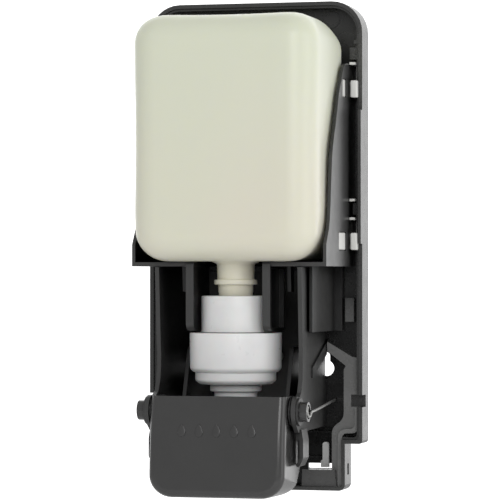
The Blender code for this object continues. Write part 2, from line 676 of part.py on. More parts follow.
def plunger_stem():
    return finish(turned("plunger_stem", [
        (1.6, -38.4), (3.0, -38.4), (3.2, -38.8), (3.2, -41.9), (4.8, -41.9), (4.8, -43.0),
        (3.2, -43.0), (3.2, -68.0), (1.6, -68.0)], steps=16), PUMP_WHITE)


def piston_seal():
    return finish(turned("piston_seal", [
        (3.5, -38.9), (4.6, -38.6), (5.7, -38.6), (5.7, -41.6), (3.5, -41.6)], steps=20), RUBBER)


def air_piston():
    return finish(turned("air_piston", [
        (3.5, -62.8), (18.8, -62.8), (19.2, -62.4), (19.2, -66.0), (18.2, -66.0), (17.8, -64.2),
        (3.5, -64.2)], steps=28), PUMP_WHITE)


def pump_nozzle():
    return finish(turned("pump_nozzle", [
        (3.5, -64.6), (9.0, -64.6), (NOZZLE_R, -66.0), (NOZZLE_R, -73.6), (13.1, -73.6),
        (NOZZLE_RING_R, -74.2), (NOZZLE_RING_R, -76.6), (12.9, -77.4), (NOZZLE_R, -77.4),
        (NOZZLE_R, -81.0), (10.4, NOZZLE_LOW), (8.0, NOZZLE_LOW), (8.0, -72.0), (6.0, -72.0),
        (6.0, -66.8), (3.5, -66.8)], steps=28), PUMP_WHITE)


def foam_screen():
    return finish(turned("foam_screen", [
        (0.0, -72.4), (7.7, -72.4), (7.7, -74.0), (0.0, -74.0)], steps=20), MESH_WHITE)


def pump_spring():
    """Compression spring between the collar's roof and the air piston."""
    points = []
    turns, coil_r, top, low = 4.0, 8.0, -49.5, -61.7
    steps = 12 * int(turns)
    for i in range(steps + 1):
        angle = math.tau * turns * i / steps
        points.append((coil_r * math.cos(angle), AXIS_Y + coil_r * math.sin(angle),
                       top + (low - top) * i / steps))
    return finish(wire("pump_spring", points, 0.6), STEEL)


# ---------------------------------------------------------------- assembly

def build():
    back_plate()
    lever_frame()
    for side in ("left", "right"):
        frame_screw(side)
    bottle_cradle()
    for level in CLIP_LEVELS:
        mirror_copy(cradle_clip(level), "cradle_clip_left_" + level)
    mirror_copy(return_spring(), "return_spring_left")

    pin = pivot_pin()
    pins = [pin, mirror_copy(pin, "pivot_pin_left")]
    pivot("lever_pivot", (0.0, PIVOT_Y, PIVOT_Z), [press_lever(), lift_yoke(), *pins])

    latch = cover_latch()
    for sign, piece in ((1.0, latch), (-1.0, mirror_copy(latch, "cover_latch_left"))):
        pivot("latch_pivot", (sign * LATCH_X, -5.6, -119.5), [piece])

    refill = pivot("refill_slide", (0.0, AXIS_Y, CAP_TOP),
                   [bottle(), soap_fill(), screw_cap(), neck_gasket(), pump_cylinder(), inlet_ball(),
                    pump_collar(), pump_spring()])
    pivot("plunger_slide", (0.0, AXIS_Y, NOZZLE_LOW),
          [plunger_stem(), piston_seal(), air_piston(), pump_nozzle(), foam_screen()], refill)


build()
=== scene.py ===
"""Looks of the wall-mounted lever soap dispenser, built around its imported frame.

The moulded CAD parts keep their shapes and get softened edges and plastic materials. The bottle, the
turned pump parts, the springs and the mark on the lever are made finer here and replace or join them.
Lengths are in metres, and MM turns millimetres into metres.
"""
import json
import math

import bmesh
import bpy
from mathutils import Matrix, Vector
from mathutils.bvhtree import BVHTree


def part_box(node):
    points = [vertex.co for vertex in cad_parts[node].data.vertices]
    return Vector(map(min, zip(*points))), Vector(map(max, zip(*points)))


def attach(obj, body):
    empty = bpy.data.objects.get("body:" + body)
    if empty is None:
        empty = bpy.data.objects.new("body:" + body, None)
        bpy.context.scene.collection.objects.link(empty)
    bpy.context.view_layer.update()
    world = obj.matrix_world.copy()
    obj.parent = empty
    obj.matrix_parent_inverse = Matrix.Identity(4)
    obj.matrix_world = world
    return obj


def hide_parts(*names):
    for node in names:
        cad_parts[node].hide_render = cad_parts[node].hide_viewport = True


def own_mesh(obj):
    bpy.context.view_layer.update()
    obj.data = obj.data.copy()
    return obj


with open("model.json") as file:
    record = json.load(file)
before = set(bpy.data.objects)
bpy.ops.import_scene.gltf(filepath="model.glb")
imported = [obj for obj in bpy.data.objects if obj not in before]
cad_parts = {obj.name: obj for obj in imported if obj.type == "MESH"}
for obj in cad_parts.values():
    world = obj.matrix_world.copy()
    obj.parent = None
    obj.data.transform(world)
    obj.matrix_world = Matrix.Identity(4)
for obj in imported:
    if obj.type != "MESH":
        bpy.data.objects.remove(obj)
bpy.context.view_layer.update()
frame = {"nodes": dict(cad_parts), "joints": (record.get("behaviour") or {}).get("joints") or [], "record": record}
NODES = frame["nodes"]
JOINTS = {joint["name"]: joint for joint in frame["joints"]}
HINGE = Vector(JOINTS["lever_hinge"]["pos_m"])
MM = 0.001
WELD_DISTANCE = 2e-6                # points closer than this are one
BOTTLE_FOOT = -8.6 * MM             # height of the bottle's underside, where the neck starts
PAN_DEPTH = 15.0 * MM
PAN_INSIDE_X = 56.9 * MM            # the pan's inside reaches this far out, and the narrower tab's
TAB_INSIDE_X = 48.2 * MM
TAB_TOP = -103.0 * MM
TAB_INSIDE_Z = -130.2 * MM
SPRING_WIRE = {"return": 0.7 * MM, "pump": 0.6 * MM}    # radii
DROP_COUNT = 5
DROP_PITCH = 9.4 * MM
FLOOR_HEIGHT = -0.42


# ---------------------------------------------------------------- shapes

def new_object(name, data):
    obj = bpy.data.objects.new(name, data)
    bpy.context.scene.collection.objects.link(obj)
    return obj


def smooth(obj, angle=32.0):
    obj.data.shade_smooth()
    obj.data.set_sharp_from_angle(angle=math.radians(angle))
    return obj


def corner_arc(before, here, after, radius, steps):
    """Points of the arc that rounds the corner of an outline at here."""
    here = Vector(here)
    back, ahead = (Vector(before) - here), (Vector(after) - here)
    reach_limit = 0.49 * min(back.length, ahead.length)
    back.normalize()
    ahead.normalize()
    half = back.angle(ahead) / 2
    reach = min(radius / math.tan(half), reach_limit)
    radius = reach * math.tan(half)
    centre = here + (back + ahead).normalized() * (radius / math.sin(half))
    start = here + back * reach - centre
    turn = start.angle_signed(here + ahead * reach - centre)
    return [centre + Matrix.Rotation(-turn * i / steps, 2) @ start for i in range(steps + 1)]


def rounded(points, closed=True, steps=4):
    """Outline whose points with a third number are rounded with that radius."""
    result = []
    for i, point in enumerate(points):
        at_end = not closed and i in (0, len(points) - 1)
        if len(point) < 3 or at_end:
            result.append(Vector(point[:2]))
            continue
        before, after = points[i - 1][:2], points[(i + 1) % len(points)][:2]
        result += corner_arc(before, point[:2], after, point[2], steps)
    return result


def turned(name, profile, axis_xy, steps=112):
    """Closed profile of (radius, height, fillet) turned about a vertical axis."""
    outline = rounded(profile)
    bm = bmesh.new()
    rings = []
    for i in range(steps):
        across, deep = math.cos(math.tau * i / steps), math.sin(math.tau * i / steps)
        rings.append([bm.verts.new((axis_xy[0] + p.x * across, axis_xy[1] + p.x * deep, p.y))
                      for p in outline])
    count = len(outline)
    for i in range(steps):
        near, far = rings[i], rings[(i + 1) % steps]
        for k in range(count):
            bm.faces.new((near[k], near[(k + 1) % count], far[(k + 1) % count], far[k]))
    bmesh.ops.recalc_face_normals(bm, faces=bm.faces)
    mesh = bpy.data.meshes.new(name)
    bm.to_mesh(mesh)
    bm.free()
    return smooth(new_object(name, mesh))


def wire(name, points, radius, sides=5):
    """Smooth round wire through the points, as a curve object."""
    curve = bpy.data.curves.new(name, "CURVE")
    curve.dimensions = "3D"
    curve.bevel_depth = radius
    curve.bevel_resolution = sides
    curve.use_fill_caps = True
    curve.resolution_u = 3
    spline = curve.splines.new("NURBS")
    spline.points.add(len(points) - 1)
    for target, point in zip(spline.points, points):
        target.co = (*point, 1.0)
    spline.use_endpoint_u = True
    spline.order_u = 3
    return new_object(name, curve)


def evaluated_mesh(obj):
    """New mesh of an object with its modifiers or bevel applied, in its own space."""
    bpy.context.view_layer.update()
    evaluated = obj.evaluated_get(bpy.context.evaluated_depsgraph_get())
    return bpy.data.meshes.new_from_object(evaluated)


def welded(name, meshes):
    """Smooth-shaded object of several meshes, with their loose caps welded on."""
    bm = bmesh.new()
    for mesh in meshes:
        bm.from_mesh(mesh)
    bmesh.ops.remove_doubles(bm, verts=bm.verts, dist=WELD_DISTANCE)
    bmesh.ops.recalc_face_normals(bm, faces=bm.faces)
    joined = bpy.data.meshes.new(name)
    bm.to_mesh(joined)
    bm.free()
    return smooth(new_object(name, joined), 40.0)


# ---------------------------------------------------------------- materials

class Look:
    """Small helper for building a Principled material from procedural nodes."""

    def __init__(self, name, colour, roughness, **sockets):
        self.material = bpy.data.materials.new(name)
        self.material.use_nodes = True
        self.tree = self.material.node_tree
        self.shader = self.tree.nodes["Principled BSDF"]
        self.shader.inputs["Base Color"].default_value = (*colour, 1.0)
        self.shader.inputs["Roughness"].default_value = roughness
        for socket, value in sockets.items():
            self.shader.inputs[socket.replace("_", " ")].default_value = value
        self.place = self.node("ShaderNodeTexCoord").outputs["Object"]

    def node(self, kind, **settings):
        made = self.tree.nodes.new(kind)
        for key, value in settings.items():
            setattr(made, key, value)
        return made

    def link(self, source, target):
        self.tree.links.new(source, target)

    def noise(self, scale, detail=3.0, stretch=None):
        """Cloudy value from 0 to 1; stretch scales the noise's three directions."""
        place = self.place
        if stretch:
            mapping = self.node("ShaderNodeMapping")
            mapping.inputs["Scale"].default_value = stretch
            self.link(place, mapping.inputs["Vector"])
            place = mapping.outputs["Vector"]
        noise = self.node("ShaderNodeTexNoise")
        noise.inputs["Scale"].default_value = scale
        noise.inputs["Detail"].default_value = detail
        self.link(place, noise.inputs["Vector"])
        return noise.outputs["Fac"]

    def ramp(self, source, low, high, start=0.35, end=0.65):
        """Colour that goes from low to high as source goes from start to end."""
        ramp = self.node("ShaderNodeValToRGB")
        ramp.color_ramp.elements[0].position = start
        ramp.color_ramp.elements[1].position = end
        ramp.color_ramp.elements[0].color = (*low, 1.0)
        ramp.color_ramp.elements[1].color = (*high, 1.0)
        self.link(source, ramp.inputs["Fac"])
        return ramp.outputs["Color"]

    def span(self, source, low, high, start=0.3, end=0.7):
        """Number that goes from low to high as source goes from start to end."""
        remap = self.node("ShaderNodeMapRange")
        for socket, value in zip(("From Min", "From Max", "To Min", "To Max"), (start, end, low, high)):
            remap.inputs[socket].default_value = value
        self.link(source, remap.inputs["Value"])
        return remap.outputs["Result"]

    def math(self, operation, *values):
        """Result of a math node on sockets or plain numbers."""
        made = self.node("ShaderNodeMath", operation=operation)
        for socket, value in zip(made.inputs, values):
            if isinstance(value, float):
                socket.default_value = value
            else:
                self.link(value, socket)
        return made.outputs["Value"]

    def shaded(self, colour, distance, start, end):
        """Colour with painted shade: darker where the surface around it closes in."""
        # painted shade: occlusion darkens the base colour in hollows
        openness = self.node("ShaderNodeAmbientOcclusion", samples=12)
        openness.inputs["Distance"].default_value = distance
        mix = self.node("ShaderNodeMix", data_type="RGBA", blend_type="MULTIPLY")
        mix.inputs["Factor"].default_value = 1.0
        self.link(colour, mix.inputs["A"])
        shade = self.ramp(openness.outputs["AO"], (0.02, 0.02, 0.02), (1.0, 1.0, 1.0), start, end)
        self.link(shade, mix.inputs["B"])
        return mix.outputs["Result"]

    def bump(self, *layers):
        """Stack of (height, strength, distance) bumps on the shader's normal."""
        normal = None
        for height, strength, distance in layers:
            bump = self.node("ShaderNodeBump")
            bump.inputs["Strength"].default_value = strength
            bump.inputs["Distance"].default_value = distance
            self.link(height, bump.inputs["Height"])
            if normal:
                self.link(normal, bump.inputs["Normal"])
            normal = bump.outputs["Normal"]
        self.link(normal, self.shader.inputs["Normal"])


def moulded_plastic(name, dark, light, roughness, grain=0.06, spread=0.03, recess=0.0, **sockets):
    """Injection-moulded plastic: faint mottling, spark-eroded grain and slightly uneven gloss.

    With a recess distance, painted shade darkens the hollows that are that deep and the narrow ones in them.
    """
    look = Look(name, light, roughness, **sockets)
    colour = look.ramp(look.noise(55.0, 4.0), dark, light)
    if recess:
        # painted shade: the colour is darkened in wide hollows and again in narrow ones
        colour = look.shaded(look.shaded(colour, recess, 0.16, 0.6), recess / 3, 0.25, 0.8)
    look.link(colour, look.shader.inputs["Base Color"])
    sheen = look.noise(180.0, 5.0)
    look.link(look.span(sheen, roughness - spread, roughness + spread), look.shader.inputs["Roughness"])
    look.bump((look.noise(2600.0, 2.0), grain, 0.00012), (look.noise(34.0, 2.0), 0.05, 0.0006))
    return look.material


# (share of the pan's depth from the rim to the wall, grey): rim, lip and ledge with a painted highlight, floor in
# painted shade, flat back
PAN_PAINTED_LIGHT_AND_SHADE = ((0.0, 0.044), (0.10, 0.046), (0.26, 0.24), (0.42, 0.17), (0.55, 0.045), (0.8, 0.006),
             (0.87, 0.006), (0.96, 0.046))


def pan_plastic():
    """The back plate's plastic: a painted highlight on the raised ledge, painted shade low down on the floor
    inside and in the hollows elsewhere.
    """
    look = Look("pan_plastic", (0.05, 0.05, 0.05), 0.27)
    parts = look.node("ShaderNodeSeparateXYZ")
    look.link(look.place, parts.inputs["Vector"])
    across, depth, height = parts.outputs["X"], parts.outputs["Y"], parts.outputs["Z"]
    # painted highlight on the ledge and painted shade on the floor, set by depth in the pan
    painted_light_and_shade = look.node("ShaderNodeValToRGB")
    stops = painted_light_and_shade.color_ramp.elements
    for at, grey in PAN_PAINTED_LIGHT_AND_SHADE:
        stop = stops[0] if at == 0.0 else stops.new(at)
        stop.color = (grey, grey, grey * 0.985, 1.0)
    stops.remove(stops[-1])
    look.link(look.span(depth, 0.0, 1.0, -PAN_DEPTH, 0.0), painted_light_and_shade.inputs["Fac"])
    plain = look.ramp(look.noise(55.0, 4.0), (0.046, 0.046, 0.0455), (0.052, 0.052, 0.0515))
    low_down = look.span(height, 1.0, 0.0, -40.0 * MM, -22.0 * MM)
    wall = look.span(height, TAB_INSIDE_X, PAN_INSIDE_X, TAB_TOP - 0.5 * MM, TAB_TOP + 0.5 * MM)
    between_walls = look.math("LESS_THAN", look.math("ABSOLUTE", across), wall)
    inside = look.math("MULTIPLY", between_walls, look.math("GREATER_THAN", height, TAB_INSIDE_Z))
    mix = look.node("ShaderNodeMix", data_type="RGBA")
    look.link(look.math("MULTIPLY", inside, low_down), mix.inputs["Factor"])
    # the rest of the plate gets painted shade in its hollows
    look.link(look.shaded(plain, 0.03, 0.15, 0.6), mix.inputs["A"])
    look.link(painted_light_and_shade.outputs["Color"], mix.inputs["B"])
    look.link(mix.outputs["Result"], look.shader.inputs["Base Color"])
    look.link(look.span(look.noise(180.0, 5.0), 0.24, 0.30), look.shader.inputs["Roughness"])
    look.bump((look.noise(2600.0, 2.0), 0.06, 0.00012), (look.noise(34.0, 2.0), 0.05, 0.0006))
    return look.material


def milky_bottle():
    """Blow-moulded polyethylene over creamy soap: greenish white with a warmer cloud low in the middle."""
    look = Look("milky_hdpe", (0.72, 0.735, 0.59), 0.3, Subsurface_Weight=0.3, Subsurface_Scale=0.006,
                Specular_IOR_Level=0.4)
    look.shader.inputs["Subsurface Radius"].default_value = (1.0, 0.95, 0.6)
    greenish = look.ramp(look.noise(14.0, 0.0), (0.775, 0.805, 0.650), (0.795, 0.820, 0.672), 0.2, 0.8)
    parts = look.node("ShaderNodeSeparateXYZ")
    look.link(look.place, parts.inputs["Vector"])
    low = look.span(parts.outputs["Z"], 1.0, 0.0, 0.005, 0.115)
    cloud = look.span(look.noise(9.0, 2.0), 0.15, 0.95, 0.3, 0.75)
    warm = look.node("ShaderNodeMix", data_type="RGBA")
    look.link(look.math("MULTIPLY", cloud, low), warm.inputs["Factor"])
    look.link(greenish, warm.inputs["A"])
    warm.inputs["B"].default_value = (0.835, 0.780, 0.665, 1.0)
    look.link(warm.outputs["Result"], look.shader.inputs["Base Color"])
    look.bump((look.noise(9.0, 0.0), 0.04, 0.0010), (look.noise(700.0, 1.0), 0.02, 0.0001))
    return look.material


def pump_plastic():
    """White polypropylene of the cap, the collar and the nozzle, with a little light going into it."""
    look = Look("pump_white", (0.83, 0.83, 0.83), 0.33, Subsurface_Weight=0.1, Subsurface_Scale=0.002)
    look.link(look.ramp(look.noise(70.0, 3.0), (0.80, 0.80, 0.80), (0.845, 0.845, 0.84)),
              look.shader.inputs["Base Color"])
    look.link(look.span(look.noise(150.0, 4.0), 0.27, 0.38), look.shader.inputs["Roughness"])
    look.bump((look.noise(1800.0, 2.0), 0.05, 0.0001), (look.noise(45.0, 2.0), 0.04, 0.0005))
    return look.material


def spring_steel():
    """Drawn wire: bright metal with fine scratches along it."""
    look = Look("spring_steel", (0.40, 0.40, 0.39), 0.4, Metallic=1.0)
    scratches = look.noise(1400.0, 2.0, stretch=(1.0, 0.06, 1.0))
    look.link(look.span(scratches, 0.34, 0.5), look.shader.inputs["Roughness"])
    look.bump((scratches, 0.08, 0.00008))
    return look.material


def screen_mesh():
    """Woven foam screen: a fine grid of threads."""
    look = Look("screen_mesh", (0.7, 0.7, 0.7), 0.5)
    waves = []
    for direction in ("X", "Y"):
        wave = look.node("ShaderNodeTexWave", bands_direction=direction)
        wave.inputs["Scale"].default_value = 420.0
        look.link(look.place, wave.inputs["Vector"])
        waves.append(wave.outputs["Fac"])
    weave = look.math("MAXIMUM", *waves)
    look.link(look.ramp(weave, (0.3, 0.3, 0.3), (0.78, 0.78, 0.76)), look.shader.inputs["Base Color"])
    look.bump((weave, 0.5, 0.0002))
    return look.material


LOOKS = {
    # the charcoal and the lever's plastic carry painted shade in their hollows through recess
    "charcoal_plastic": moulded_plastic("charcoal_plastic", (0.044, 0.044, 0.0435), (0.050, 0.050, 0.0495),
                                        0.32, recess=0.045),
    "lever_plastic": moulded_plastic("lever_plastic", (0.042, 0.0418, 0.0415), (0.045, 0.0448, 0.0445),
                                     0.21, grain=0.04, recess=0.03, Coat_Weight=0.25, Coat_Roughness=0.12),
    "latch_grey": moulded_plastic("latch_grey", (0.47, 0.47, 0.465), (0.51, 0.51, 0.505), 0.38),
    "white_nylon": moulded_plastic("white_nylon", (0.74, 0.74, 0.71), (0.80, 0.80, 0.77), 0.38, grain=0.05),
    "pump_white": pump_plastic(),
    "milky_hdpe": milky_bottle(),
    "hand_soap": moulded_plastic("hand_soap", (0.70, 0.69, 0.58), (0.74, 0.73, 0.62), 0.2, grain=0.0),
    "spring_steel": spring_steel(),
    "seal_rubber": moulded_plastic("seal_rubber", (0.03, 0.03, 0.03), (0.04, 0.04, 0.04), 0.65),
    "screen_mesh": screen_mesh(),
}
PAN_PLASTIC = pan_plastic()


def coat(obj, slot):
    """Give a piece the material for the record's slot that it stands for."""
    obj.data.materials.clear()
    obj.data.materials.append(LOOKS[slot])
    return obj


# ---------------------------------------------------------------- CAD nodes

def smooth_by_angle(degrees):
    """Geometry nodes group that shades smooth and keeps edges above an angle sharp."""
    group = bpy.data.node_groups.new("smooth_by_angle", "GeometryNodeTree")
    group.interface.new_socket("Geometry", in_out="INPUT", socket_type="NodeSocketGeometry")
    group.interface.new_socket("Geometry", in_out="OUTPUT", socket_type="NodeSocketGeometry")
    start, end = group.nodes.new("NodeGroupInput"), group.nodes.new("NodeGroupOutput")
    faces = group.nodes.new("GeometryNodeSetShadeSmooth")
    edges = group.nodes.new("GeometryNodeSetShadeSmooth")
    edges.domain = "EDGE"
    edges.inputs["Shade Smooth"].default_value = False
    angle = group.nodes.new("GeometryNodeInputMeshEdgeAngle")
    wider = group.nodes.new("FunctionNodeCompare")
    wider.inputs["B"].default_value = math.radians(degrees)
    group.links.new(angle.outputs["Unsigned Angle"], wider.inputs["A"])
    group.links.new(start.outputs[0], faces.inputs["Geometry"])
    group.links.new(faces.outputs["Geometry"], edges.inputs["Geometry"])
    group.links.new(wider.outputs["Result"], edges.inputs["Selection"])
    group.links.new(edges.outputs["Geometry"], end.inputs[0])
    return group


SMOOTH = smooth_by_angle(30.0)


def soften(node, width):
    """Weld a CAD node's faces together, round its edges as moulding does and shade its curves smooth."""
    weld = node.modifiers.new("weld", "WELD")
    weld.merge_threshold = 0.01 * MM
    if width:
        bevel = node.modifiers.new("edges", "BEVEL")
        bevel.width = width
        bevel.segments = 2
        bevel.limit_method = "ANGLE"
        bevel.angle_limit = math.radians(38.0)
        bevel.use_clamp_overlap = True
        bevel.miter_outer = "MITER_ARC"
    shade = node.modifiers.new("shade", "NODES")
    shade.node_group = SMOOTH
    tidy = node.modifiers.new("normals", "WEIGHTED_NORMAL")
    tidy.keep_sharp = True
    tidy.weight = 80


EDGE_WIDTHS = {
    "back_plate": 0.45 * MM, "lever_frame": 0.35 * MM, "bottle_cradle": 0.35 * MM,
    "press_lever": 0.5 * MM, "lift_yoke": 0.4 * MM, "cover_latch_left": 0.4 * MM,
    "cover_latch_right": 0.4 * MM, "pivot_pin_left": 0.4 * MM, "pivot_pin_right": 0.4 * MM,
}


def dress_cad_nodes():
    slots = {item["node"]: item["material_slot"] for item in frame["record"]["subparts"]}
    for name, node in NODES.items():
        coat(node, slots[name])
        if name == "back_plate":
            node.data.materials[0] = PAN_PLASTIC
        soften(node, EDGE_WIDTHS.get(name, 0.0))


# ---------------------------------------------------------------- bottle

def ring_points(half, front, back, radius, corner_steps=9, side_steps=10):
    """Rounded rectangle in X, Y, with the same number of points for any size."""
    x, near, far = half - radius, front + radius, back - radius
    corners = [(Vector((x, far)), 0.0), (Vector((-x, far)), 90.0), (Vector((-x, near)), 180.0),
               (Vector((x, near)), 270.0)]

    def on_corner(index, turn):
        centre, start = corners[index % 4]
        angle = math.radians(start + turn)
        return centre + radius * Vector((math.cos(angle), math.sin(angle)))

    points = []
    for i in range(4):
        points += [on_corner(i, 90.0 * k / corner_steps) for k in range(corner_steps + 1)]
        end, following = points[-1], on_corner(i + 1, 0.0)
        points += [end.lerp(following, k / side_steps) for k in range(1, side_steps)]
    return points


def ease(value, low, high):
    """Smooth step from 0 at low to 1 at high."""
    t = min(1.0, max(0.0, (value - low) / (high - low)))
    return t * t * (3.0 - 2.0 * t)


class Bottle:
    """The refill bottle: rounded box with soft panels, a dished base on top and a ribbed neck below."""

    CORNER = 15.0 * MM
    END_ROUND = 15.5 * MM

    def __init__(self):
        low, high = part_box("bottle")
        self.half = high.x
        self.front, self.back = low.y, high.y
        self.neck_end, self.top = low.z, high.z
        self.bottom = BOTTLE_FOOT
        cap_low, cap_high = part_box("screw_cap")
        self.axis_y = (cap_low.y + cap_high.y) / 2

    def levels(self):
        """(height, inset) of each ring, from the bottom's edge round to the top's."""
        steps = 9
        turns = [math.radians(90 * i / steps) for i in range(steps + 1)]
        lower = [(self.bottom + self.END_ROUND * (1 - math.cos(turn)),
                  self.END_ROUND * (1 - math.sin(turn))) for turn in turns]
        start, end = lower[-1][0], self.top - self.END_ROUND
        straight = [(start + (end - start) * i / 26, 0.0) for i in range(1, 26)]
        upper = [(self.top - (z - self.bottom), inset) for z, inset in reversed(lower)]
        return lower + straight + upper

    def shape(self, point, z, inset):
        """Push a ring's point in or down to make the panels, the waist and the sloping shoulder."""
        x, y = point
        deep = (y - self.front) / (self.back - self.front)
        tall = (z - self.bottom) / (self.top - self.bottom)
        panel = (1 - ease(abs(x), 0.022, 0.042)) * ease(tall, 0.04, 0.16) * (1 - ease(tall, 0.84, 0.96))
        on_front = 1 - ease(deep, 0.0, 0.12)
        y += panel * on_front * 0.35 * MM
        waist = math.exp(-((tall - 0.46) / 0.3) ** 2)
        on_side = ease(abs(x), self.half * 0.86, self.half)
        x -= math.copysign(on_side * waist * 0.7 * MM, x)
        narrow = 1 - ease(tall, 0.0, 0.22)
        x -= math.copysign(narrow * 1.1 * MM * ease(abs(x), 0.0, self.half), x)
        near_top = ease(tall, 0.80, 1.0)
        z -= near_top * ease(deep, 0.45, 1.0) ** 2 * 6.5 * MM
        z -= ease(tall, 0.93, 1.0) * (1 - min(1.0, (abs(x) / 0.044) ** 2)) * 1.0 * MM
        return Vector((x, y, z))

    def rings(self, bm):
        rings = []
        for z, inset in self.levels():
            points = ring_points(self.half - inset, self.front + inset, self.back - inset,
                                 max(self.CORNER - inset * 0.55, 4.0 * MM))
            rings.append([bm.verts.new(self.shape(p, z, inset)) for p in points])
        return rings

    def end_rows(self, bm, ring, dip):
        """Rows that close an end, each smaller than the last and dished by a share of dip."""
        centre_y = (self.front + self.back) / 2
        rows = [ring]
        for share in (0.8, 0.55, 0.3):
            rows.append([bm.verts.new((v.co.x * share, centre_y + (v.co.y - centre_y) * share,
                                       v.co.z + dip * (1 - share))) for v in ring])
        return rows

    def body(self):
        bm = bmesh.new()
        rings = self.rings(bm)
        ends = [self.end_rows(bm, rings[0], 0.6 * MM), self.end_rows(bm, rings[-1], -0.5 * MM)]
        for rows in (rings, *ends):
            for near, far in zip(rows, rows[1:]):
                for k in range(len(near)):
                    n = (k + 1) % len(near)
                    bm.faces.new((near[k], near[n], far[n], far[k]))
        for rows in ends:
            bm.faces.new(rows[-1])
        bmesh.ops.recalc_face_normals(bm, faces=bm.faces)
        mesh = bpy.data.meshes.new("bottle_body")
        bm.to_mesh(mesh)
        bm.free()
        return new_object("bottle_skin", mesh)

    def neck(self):
        """Neck with a fillet under the body and a support ring above the thread."""
        z = self.bottom
        profile = [(0.001, z + 3.0 * MM), (0.0140, z + 3.0 * MM), (0.0128, z - 0.1 * MM, 0.001),
                   (0.0100, z - 1.4 * MM, 0.0012), (0.0098, z - 9.6 * MM, 0.0004),
                   (0.01145, z - 9.6 * MM, 0.0005), (0.01145, z - 12.2 * MM, 0.0005),
                   (0.0093, z - 12.2 * MM, 0.0004), (0.0093, z - 16.2 * MM),
                   (0.0090, z - 16.6 * MM), (0.0090, self.neck_end, 0.0004), (0.001, self.neck_end)]
        return turned("bottle_neck", profile, (0.0, self.axis_y), 96)

    def build(self):
        skin = self.body()
        neck = self.neck()
        union = skin.modifiers.new("neck", "BOOLEAN")
        union.operation = "UNION"
        union.solver = "EXACT"
        union.object = neck
        joined = evaluated_mesh(skin)
        skin.modifiers.clear()
        skin.data = joined
        bpy.data.objects.remove(neck, do_unlink=True)
        smooth(skin, 40.0)
        coat(skin, "milky_hdpe")
        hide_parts("bottle")
        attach(skin, "refill")
        return skin


# ---------------------------------------------------------------- pump

def pump_piece(name, node, body, profile):
    """Turned piece in place of a CAD node, from a profile that fits the node's box."""
    low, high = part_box(node)
    axis = ((low.x + high.x) / 2, (low.y + high.y) / 2)
    piece = turned(name, profile(high.x, low.z, high.z), axis)
    coat(piece, "pump_white")
    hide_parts(node)
    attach(piece, body)
    return piece


def cap_profile(r, low, high):
    """Screw cap, open below, with a hole for the neck."""
    wall = 1.7 * MM
    return [(0.0094, high, 0.0003), (r, high, 0.0008), (r, low, 0.0003), (r - wall, low, 0.0002),
            (r - wall, high - 2.3 * MM, 0.0005), (0.0094, high - 2.3 * MM, 0.0002)]


def collar_profile(r, low, high):
    """Collar with a rounded lower edge and the stepped guide ring below it."""
    step = high - 20.7 * MM
    ring = 0.0215
    return [(0.0044, high, 0.0002), (r, high, 0.0005), (r - 0.1 * MM, step + 1.6 * MM, 0.0024),
            (r - 1.9 * MM, step, 0.0010), (ring, step - 0.1 * MM, 0.0003),
            (ring - 0.1 * MM, low + 1.7 * MM, 0.0020), (ring - 2.3 * MM, low, 0.0008),
            (0.0143, low, 0.0003), (0.0143, step + 0.5 * MM, 0.0002),
            (0.0196, step + 0.5 * MM, 0.0003), (0.0196, high - 2.2 * MM, 0.0005),
            (0.0044, high - 2.2 * MM)]


def nozzle_profile(r, low, high):
    """Nozzle tube with its stop ring; r is the ring's radius."""
    tube = 0.01135
    return [(0.0035, high), (0.0090, high, 0.0004), (tube, high - 1.4 * MM, 0.0006),
            (tube, high - 9.0 * MM, 0.0003), (r, high - 9.2 * MM, 0.0007), (r, high - 12.6 * MM, 0.0009),
            (tube, high - 12.8 * MM, 0.0003), (tube, low + 0.2 * MM, 0.0009), (0.0080, low, 0.0003),
            (0.0080, low + 10.0 * MM, 0.0002), (0.0060, low + 10.0 * MM), (0.0060, high - 2.2 * MM, 0.0003),
            (0.0035, high - 2.2 * MM)]


def pump_parts():
    pump_piece("cap_turned", "screw_cap", "refill", cap_profile)
    pump_piece("collar_turned", "pump_collar", "refill", collar_profile)
    pump_piece("nozzle_turned", "pump_nozzle", "plunger", nozzle_profile)


# ---------------------------------------------------------------- lever mark and springs

def lever_front(z):
    """How far forward the lever's front face is at a height."""
    tree = BVHTree.FromObject(NODES["press_lever"], bpy.context.evaluated_depsgraph_get())
    return tree.ray_cast(Vector((0.0, -0.3, z)), Vector((0.0, 1.0, 0.0)))[0].y


def drop_outline(width, height):
    """Outline of a droplet, point up."""
    points = []
    for i in range(40):
        t = math.tau * i / 40
        points.append((width / 2 * math.sin(t) * math.sin(t / 2), height / 2 * math.cos(t)))
    return points


def drop_mesh(place):
    """Mesh of one raised droplet, in the place that its matrix gives."""
    curve = bpy.data.curves.new("drop", "CURVE")
    curve.dimensions = "2D"
    curve.fill_mode = "BOTH"
    curve.extrude = 0.25 * MM
    curve.bevel_depth = 0.12 * MM
    curve.bevel_resolution = 1
    spline = curve.splines.new("POLY")
    outline = drop_outline(5.2 * MM, 6.4 * MM)
    spline.points.add(len(outline) - 1)
    for target, (x, y) in zip(spline.points, outline):
        target.co = (x, y, 0.0, 1.0)
    spline.use_cyclic_u = True
    drop = new_object("drop", curve)
    mesh = evaluated_mesh(drop)
    mesh.transform(place)
    bpy.data.objects.remove(drop, do_unlink=True)
    return mesh


